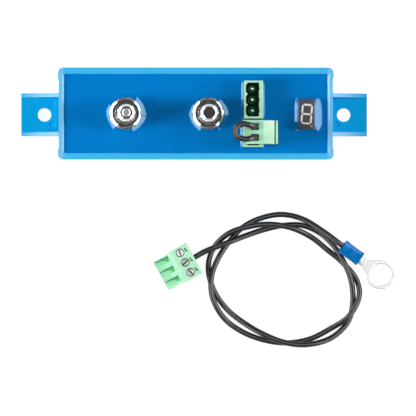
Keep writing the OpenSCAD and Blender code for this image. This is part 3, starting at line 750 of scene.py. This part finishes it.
nut("input_nut_hex", STUDS[0], 37.5, "input_nut_body", "input_nut", M_zinc_in, math.radians(12))
nut("output_nut_hex", STUDS[1], 37.5, "output_nut_body", "output_nut", M_zinc_out, math.radians(5))

for name, cx, body, node in (("input_washer_ring", STUDS[0], "input_washer_body", "input_washer"), ("output_washer_ring", STUDS[1], "output_washer_body", "output_washer")):
    w = lathe(name, cx, 0, [(4.4, 35.85), (4.55, 35.7), (7.0, 35.7), (7.3, 35.95), (7.3, 36.9), (7.22, 36.98), (6.2, 37.48), (6.1, 37.5), (4.55, 37.5), (4.4, 37.35)], 96)
    piece(w, body, "washer_steel", M_washer, node, smooth=40)

# ---------------------------------------------------------------- headers and pins
def pin(x, y, z0, z1, w=0.45):
    def sq(h, z): return [(x + h * a, y + h * b, z) for a, b in ((1, 1), (-1, 1), (-1, -1), (1, -1))]
    o = loft("pin", [sq(w, z0), sq(w, z1 - 0.2), sq(w * 0.3, z1)])
    return o

def header(name, x0, y0, x1, y1, cy0, cy1, teeth, poles, node):
    o = box(name, x0, y0, 31, x1, y1, 43.2)
    c0, c1 = 22.95, 29.05
    pts = [(c1, cy0), (c1, cy1)]
    pts += [(c0 + 0.95, cy1), (c0, cy1 - 1.3)]
    for t in sorted(teeth, reverse=True):
        pts += [(c0, t + 1.1), (c0 + 0.9, t), (c0, t - 1.1)]
    pts += [(c0, cy0 + 1.3), (c0 + 0.95, cy0)]
    boolean(o, prism("cav", pts, 34.6, 45))
    for y in poles:
        boolean(o, cyl("scallop", c1 - 1.0, y, 1.32, 36.2, 45, 32))
    clean(o)
    bevel(o, 0.16, 2, 30)
    rings = []
    for y in poles:
        rings.append(lathe("collar", 25.95, y, [(0.72, 34.5), (0.72, 35.4), (0.95, 35.55), (1.5, 35.55), (1.75, 35.3), (1.75, 34.5)], 40))
        rings.append(lathe("rib", 25.95, y, [(2.05, 34.5), (2.05, 34.9), (2.3, 34.9), (2.3, 34.5)], 40))
    o2 = join(name, o, *rings)
    o2.name = name
    piece(o2, "module", "connector_green", M_header, node, smooth=35)
    return o2

P3 = (11.43, 6.35, 1.27)
P2 = (-6.36, -11.44)
header("header_3pole_shell", 22.1, -2.42, 30.9, 15.12, -1.47, 14.17, (3.81, 8.89), P3, "header_3pole")
header("header_2pole_shell", 21.7, -15.58, 30.8, -3.08, -14.83, -3.83, (-8.9,), P2, "header_2pole")
piece(join("header_3pole_posts", *[pin(25.95, y, 28, 41.4) for y in P3]), "module", "tinned_pin", M_pin, "header_3pole_pins")
piece(join("header_2pole_posts", *[pin(25.95, y, 28, 41.4) for y in P2]), "module", "tinned_pin", M_pin, "header_2pole_pins")

# ---------------------------------------------------------------- display
db = box("display_housing", 47.5, -7.3, 31, 54.9, 6.7, 38.92)
bevel(db, 0.22, 2, 30)
piece(db, "module", "display_grey", M_face, "display_body")

# ---------------------------------------------------------------- pluggable screw connectors, in their own frame
PITCH = 5.08
def xform_jumper():
    return Matrix.Translation((22.74, -8.9, 35.4))
def xform_lead():
    return Matrix.Translation((-15.25, -74.45, 0)) @ Matrix.Rotation(math.radians(209), 4, "Z") @ Matrix.Rotation(math.radians(-90), 4, "Y")

def plug(name, n, m, body, node, wired):
    wy, my = n * PITCH + 0.64, n * PITCH - 0.46
    ys = [(k - (n - 1) / 2) * PITCH for k in range(n)]
    o = box(name, 0, -wy / 2, 7.9, 14.9, wy / 2, 17.5)
    boolean(o, box("mate", 0.4, -my / 2, 0, 6.2, my / 2, 8.4), "UNION")
    # lower front of the mating face, leaving the rib ends proud
    boolean(o, box("low", 5.75, -my, -1, 8, my, 4.3))
    # edge along the wire face: step, groove and lip
    boolean(o, box("step", 8.3, -wy, 17.2, 20, wy, 19))
    boolean(o, box("groove", 13.2, -wy, 16.5, 13.9, wy, 19))
    wedge = mesh("wedge", [(14.3, -wy, 17.6), (15.2, -wy, 17.6), (15.2, -wy, 16.2), (14.3, wy, 17.6), (15.2, wy, 17.6), (15.2, wy, 16.2)],
                 [[0, 1, 2], [5, 4, 3], [0, 3, 4, 1], [1, 4, 5, 2], [2, 5, 3, 0]])
    boolean(o, wedge)
    # chamfer where the tower meets the mating part
    wedge = mesh("wedge", [(15.2, -wy, 7.7), (15.2, -wy, 9.0), (13.9, -wy, 7.7), (15.2, wy, 7.7), (15.2, wy, 9.0), (13.9, wy, 7.7)],
                 [[0, 1, 2], [5, 4, 3], [0, 3, 4, 1], [1, 4, 5, 2], [2, 5, 3, 0]])
    boolean(o, wedge)
    for k in range(1, n):
        y = ys[k] - PITCH / 2
        boolean(o, prism("key", [(-0.2, y - 2.0), (1.55, y), (-0.2, y + 2.0)], -1, 7.9))
    clean(o)
    for y in ys:
        boolean(o, box("chan", 5.3, y - 1.7, -1, 7, y + 1.7, 7.0))
        if n == 2:
            boolean(o, box("deep", 4.85, y - 1.45, 4.6, 7, y + 1.45, 6.9))
        else:
            d = prism("deep", [(y - 1.6, 0.5), (y - 1.3, 0.5), (y - 0.9, 3.2), (y - 0.5, 4.4), (y + 0.9, 6.0), (y + 1.2, 6.9), (y - 1.6, 6.9)], 4.75, 7)
            boolean(o, move(d, Matrix(((0, 0, 1, 0), (1, 0, 0, 0), (0, 1, 0, 0), (0, 0, 0, 1)))))
        boolean(o, box("sock", 1.9, y - 1.35, -1, 4.6, y + 1.35, 8.4))
        boolean(o, box("cage", 1.0, y - 2.05, 8.4, 9.8, y + 2.05, 15.2))
        # square mouth that narrows to the wire hole
        boolean(o, box("mouth", 2.42, y - 1.62, 15.9, 5.95, y + 1.62, 18))
        boolean(o, cyl("wire", 4.16, y, 1.8, 15, 16.2, 32))
        c = move(cyl("shank", 0, 0, 1.55, 9.7, 12.8, 32), Matrix(((0, 0, 1, 0), (0, 1, 0, y), (-1, 0, 0, 12.5), (0, 0, 0, 1))))
        boolean(o, c)
        c = move(cyl("well", 0, 0, 2.0, 12.6, 16, 40), Matrix(((0, 0, 1, 0), (0, 1, 0, y), (-1, 0, 0, 12.5), (0, 0, 0, 1))))
        boolean(o, c)
        boolean(o, box("label", 14.55, y - 1.0, 15.0, 16, y + 0.95, 15.75))
        boolean(o, box("label2", 14.55, y + 0.35, 15.0, 16, y + 1.0, 16.15))
    # a thin parting line on the wire side, near one end of the plug
    boolean(o, box("line", 8.6, -wy / 2 + 0.75, 17.05, 13.0, -wy / 2 + 0.95, 19))
    clean(o)
    bevel(o, 0.12, 2, 35)
    move(o, m)
    piece(o, body, "plug_green", M_link if n == 2 else M_lead, node, smooth=35)
    return o

def screw(name, y, a, m, body, node):
    prof = [(0.02, 6.4), (1.1, 6.4), (1.25, 6.55)]
    z = 6.55
    k = 0
    while z < 12.4:
        prof.append((1.25 if k % 2 == 0 else 1.02, z)); z += 0.25; k += 1
    prof += [(1.2, 12.5), (1.2, 12.65), (1.5, 12.65), (1.66, 12.85), (1.66, 14.3), (1.62, 14.42), (1.48, 14.54), (1.0, 14.6), (0.02, 14.6)]
    o = lathe(name, 0, 0, prof, 40, closed=False)
    clean(o, 1e-3)
    s = move(box("slot", -2.2, -0.28, 13.3, 2.2, 0.28, 16), Matrix.Rotation(math.radians(a), 4, "Z"))
    boolean(o, s)
    bevel(o, 0.03, 1, 50)
    # turned axis: z -> u, across stays
    move(o, Matrix(((0, 0, 1, 0), (0, 1, 0, 0), (-1, 0, 0, 0), (0, 0, 0, 1))))
    move(o, Matrix.Translation((0, y, 12.5)))
    move(o, m)
    piece(o, body, "screw_metal", {"lead_screw_a": M_screw1, "lead_screw_b": M_screw2}.get(node, M_screw), node, smooth=40)
    return o

mj, ml = xform_jumper(), xform_lead()
plug("link_plug_housing", 2, mj, "link_plug_body", "jumper_plug", True)
lead_plug = plug("lead_plug_housing", 3, ml, "lead_body", "lead_plug", False)
screw("link_screw_a_head", PITCH / 2, 70, mj, "link_screw_a_body", "jumper_screw_a")
screw("link_screw_b_head", -PITCH / 2, 25, mj, "link_screw_b_body", "jumper_screw_b")
# dark green pads on the label recess floors, and a dark green liner in each screw well as painted shade
pads_and_well_shade = []
for k in (-1, 0, 1):
    y = k * PITCH
    pads_and_well_shade.append(box("m", 14.5, y - 0.98, 15.02, 14.6, y + 0.93, 15.73))
    pads_and_well_shade.append(box("m", 14.5, y + 0.37, 15.6, 14.6, y + 0.98, 16.13))
    # dark green liner round the screw well: painted shade
    ring = lathe("m", 0, 0, [(1.7, 13.5), (1.98, 13.5), (1.98, 14.3), (1.94, 14.3), (1.9, 13.7), (1.7, 13.7)], 40)
    pads_and_well_shade.append(move(ring, Matrix(((0, 0, 1, 0), (0, 1, 0, y), (-1, 0, 0, 12.5), (0, 0, 0, 1)))))
piece(move(join("lead_plug_pads_and_well_shade", *pads_and_well_shade), ml), "lead_body", "plug_green", M_pads_and_well_shade)
ls = [screw("lead_screw_a_head", -PITCH, 80, ml, "lead_screw_a_body", "lead_screw_a"),
      screw("lead_screw_b_head", 0, 15, ml, "lead_screw_b_body", "lead_screw_b"),
      screw("lead_screw_c_head", PITCH, 106, ml, "lead_screw_c_body", "lead_screw_c")]

LINK = [[26.9,-6.36,50.7],[26.9,-6.36,53.6],[26.3,-6.1,55.4],[24.2,-5.6,56.6],
  [21.4,-5.2,57],[18.8,-6.3,57.3],[17.7,-8.7,57.4],[19,-11.2,57.3],
  [21.8,-12.2,57],[24.4,-12,56.6],[26.3,-11.7,55.4],[26.9,-11.44,53.6],[26.9,-11.44,50.7]]
lw = tube("link_wire_insulation", [catmull(LINK, k / 12) for k in range(12 * 12)] + [LINK[-1]], 1.3, 28)
piece(lw, "link_plug_body", "cable_black", M_black, "jumper_wire", smooth=60)

# ---------------------------------------------------------------- ring terminal and its sleeve
RT = (Matrix.Translation((86.3, -73.6, 0)) @ Matrix.Rotation(math.radians(144), 4, "Z") @ Matrix.Translation((-6.7, 0, 0.03))
      @ Matrix.Rotation(math.radians(-9), 4, "Y") @ Matrix.Translation((6.7, 0, 0.45)))
def ring_outline():
    # left edge of the tongue, concave, then round the eye
    t0 = math.radians(48)
    edge = [(6.7 * math.cos(t0), 6.7 * math.sin(t0), 0), (5.6, 4.05, 0), (6.9, 3.15, 0), (8.4, 2.5, 0), (10.2, 2.15, 0), (12.4, 2.08, 0)]
    up = [catmull(edge, k / 4) for k in range(20)] + [Vector(edge[-1])]
    pts = [(p.x, p.y) for p in up]
    low = [(x, -y) for x, y in reversed(pts)]
    arc = []
    for k in range(1, 60):
        t = -t0 - (TAU - 2 * t0) * k / 60
        arc.append((6.7 * math.cos(t), 6.7 * math.sin(t)))
    return pts + low + arc

rt = prism("ring_terminal_tongue", ring_outline(), -0.45, 0.45)
boolean(rt, cyl("eye", 0, 0, 5.15, -2, 2, 72))
clean(rt)
bevel(rt, 0.34, 4, 40)
# cup that turns the flat tongue into the barrel
loops = []
for k in range(13):
    s = k / 12
    e = s * s * (3 - 2 * s)
    x = 9.0 + 3.4 * s
    lp = []
    for i in range(32):
        t = TAU * i / 32
        fy, fz = 2.0 * math.cos(t), 0.02 + 0.40 * math.sin(t)
        cyy, czz = 1.88 * math.cos(t), 1.45 + 1.88 * math.sin(t)
        lp.append((x, fy * (1 - e) + cyy * e, fz * (1 - e) + czz * e))
    loops.append(lp)
cup = loft("cup", loops)
bar = loft("barrel", [[(x, r * math.cos(TAU * i / 32), 1.45 + r * math.sin(TAU * i / 32)) for i in range(32)]
                      for x, r in ((12.3, 1.88), (19.0, 1.88), (19.2, 1.7), (19.2, 1.1), (13.0, 1.05))])
rt = join("ring_terminal_body", rt, cup, bar)
move(rt, RT)
piece(rt, "lead_body", "tinned_copper", M_tin, "ring_terminal", smooth=35)

def sleeve_section(x, a, b, dent=0.0, n=48):
    lp = []
    for i in range(n):
        t = TAU * i / n
        cy = 0.6 * (1 if math.cos(t) > 0 else -1) * min(1, abs(math.cos(t)) * 3)
        y = cy * (a - 2.35 + 0.6) / 0.6 + (2.35 + (b - 2.35)) * math.cos(t)
        z = b * math.sin(t)
        if dent and z > 0:
            z -= dent * math.exp(-(y / 1.3) ** 2)
        lp.append((x, y, 1.45 + z))
    return lp
prof = [(12.5, 0.45, 2.15, 0), (12.55, 0.58, 2.28, 0), (12.8, 0.6, 2.33, 0), (13.15, 0.55, 2.26, 0), (13.6, 0.5, 2.18, 0), (14.4, 0.5, 2.15, 0.03), (15.1, 0.5, 2.12, 0.08),
        (15.8, 0.5, 2.12, 0.1), (16.5, 0.5, 2.12, 0.08), (17.2, 0.5, 2.15, 0.03), (18.0, 0.5, 2.16, 0), (18.9, 0.52, 2.16, 0.03), (19.6, 0.52, 2.14, 0.08), (20.3, 0.52, 2.16, 0.03),
        (21.0, 0.55, 2.2, 0), (21.8, 0.58, 2.27, 0), (22.4, 0.6, 2.33, 0), (22.68, 0.59, 2.34, 0), (22.75, 0.5, 2.22, 0)]
sl = [sleeve_section(x, 2.35 + c - 0.0, b, d) for x, c, b, d in prof]
def round_section(x, r, n=48): return [(x, r * math.cos(TAU * i / n) * 1.12, 1.45 + r * math.sin(TAU * i / n)) for i in range(n)]
inner = [round_section(22.6, 1.95), round_section(22.0, 1.7), round_section(21.0, 1.5), round_section(19.4, 1.45), round_section(19.2, 1.85), round_section(12.6, 1.85)]
sleeve = loft("crimp_sleeve_body", sl + inner, closed=True)
move(sleeve, RT)
piece(sleeve, "lead_body", "sleeve_blue", M_sleeve, "crimp_sleeve", smooth=50)

# ---------------------------------------------------------------- stage and light
floor = mesh("floor", [(-4000, -4000, -0.25), (4000, -4000, -0.25), (4000, 4000, -0.25), (-4000, 4000, -0.25)], [[0, 1, 2, 3]])
floor.data.transform(Matrix.Scale(MM, 4))
fm = Mat("floor_white")
fm.color(fm.ramp(fm.noise(3, 2), 0.3, 0.7, (0.25, 0.25, 0.25), (0.26, 0.26, 0.26)))
fm.set(Roughness=0.9, Specular_IOR_Level=0.1, Emission_Color=(1, 1, 1, 1), Emission_Strength=0.85)
floor.data.materials.append(fm.m)

def area(name, loc, target, w, h, power, diffuse=True, glossy=True, color=(1, 1, 1)):
    d = bpy.data.lights.new(name, "AREA")
    d.shape, d.size, d.size_y, d.energy, d.color = "RECTANGLE", w, h, power, color
    o = link(bpy.data.objects.new(name, d))
    o.location = loc
    o.rotation_mode = "QUATERNION"
    o.rotation_quaternion = (Vector(target) - Vector(loc)).to_track_quat("-Z", "Y")
    o.visible_diffuse, o.visible_glossy = diffuse, glossy
    return o

T = (0.02, -0.03, 0.03)
area("softbox_left", (-0.84, -0.03, 0.55), T, 2.1, 0.46, 28, diffuse=False)
area("softbox_right", (0.88, -0.03, 0.55), T, 2.1, 0.46, 24, diffuse=False)
area("key_left", (-0.95, -0.08, 0.62), T, 0.36, 0.5, 9.8, glossy=False)
area("key_right", (0.98, 0.02, 0.62), T, 0.36, 0.5, 7.1, glossy=False)
area("strip_right", (0.64, -0.03, 0.82), T, 1.2, 0.17, 5.0, diffuse=False)
sun = bpy.data.lights.new("overhead", "SUN")
sun.energy, sun.angle = 0.75, math.radians(4)
so = link(bpy.data.objects.new("overhead", sun))
so.rotation_euler = (math.radians(-3.0), math.radians(-1.0), 0)
so.visible_glossy = False

# studio world: dark overhead, where the camera stands, and pale lower down, for what gloss and metal reflect
w = bpy.data.worlds.new("studio")
SC.world = w
w.use_nodes = True
wt = w.node_tree
bg = wt.nodes["Background"]
bg.inputs["Color"].default_value = (1, 1, 1, 1)
tc = wt.nodes.new("ShaderNodeTexCoord")
sx = wt.nodes.new("ShaderNodeSeparateXYZ")
wt.links.new(tc.outputs["Generated"], sx.inputs["Vector"])
sky = wt.nodes.new("ShaderNodeMapRange")
sky.interpolation_type = "SMOOTHSTEP"
for k, v in (("From Min", 0.15), ("From Max", 0.46), ("To Min", 0.85), ("To Max", 0.04)):
    sky.inputs[k].default_value = v
wt.links.new(sx.outputs["Z"], sky.inputs["Value"])
lp = wt.nodes.new("ShaderNodeLightPath")
mx = wt.nodes.new("ShaderNodeMix")
mx.data_type = "FLOAT"
mx.inputs["A"].default_value = 0.16
wt.links.new(lp.outputs["Is Glossy Ray"], mx.inputs["Factor"])
wt.links.new(sky.outputs["Result"], mx.inputs["B"])
# white where the picture itself looks past the floor
mw = wt.nodes.new("ShaderNodeMath")
mw.operation = "MAXIMUM"
wt.links.new(mx.outputs["Result"], mw.inputs[0])
wt.links.new(lp.outputs["Is Camera Ray"], mw.inputs[1])
wt.links.new(mw.outputs["Value"], bg.inputs["Strength"])

SC.view_settings.view_transform = "Standard"
SC.view_settings.look = "None"
SC.view_settings.exposure = 0
SC.view_settings.gamma = 1

bpy.context.view_layer.update()
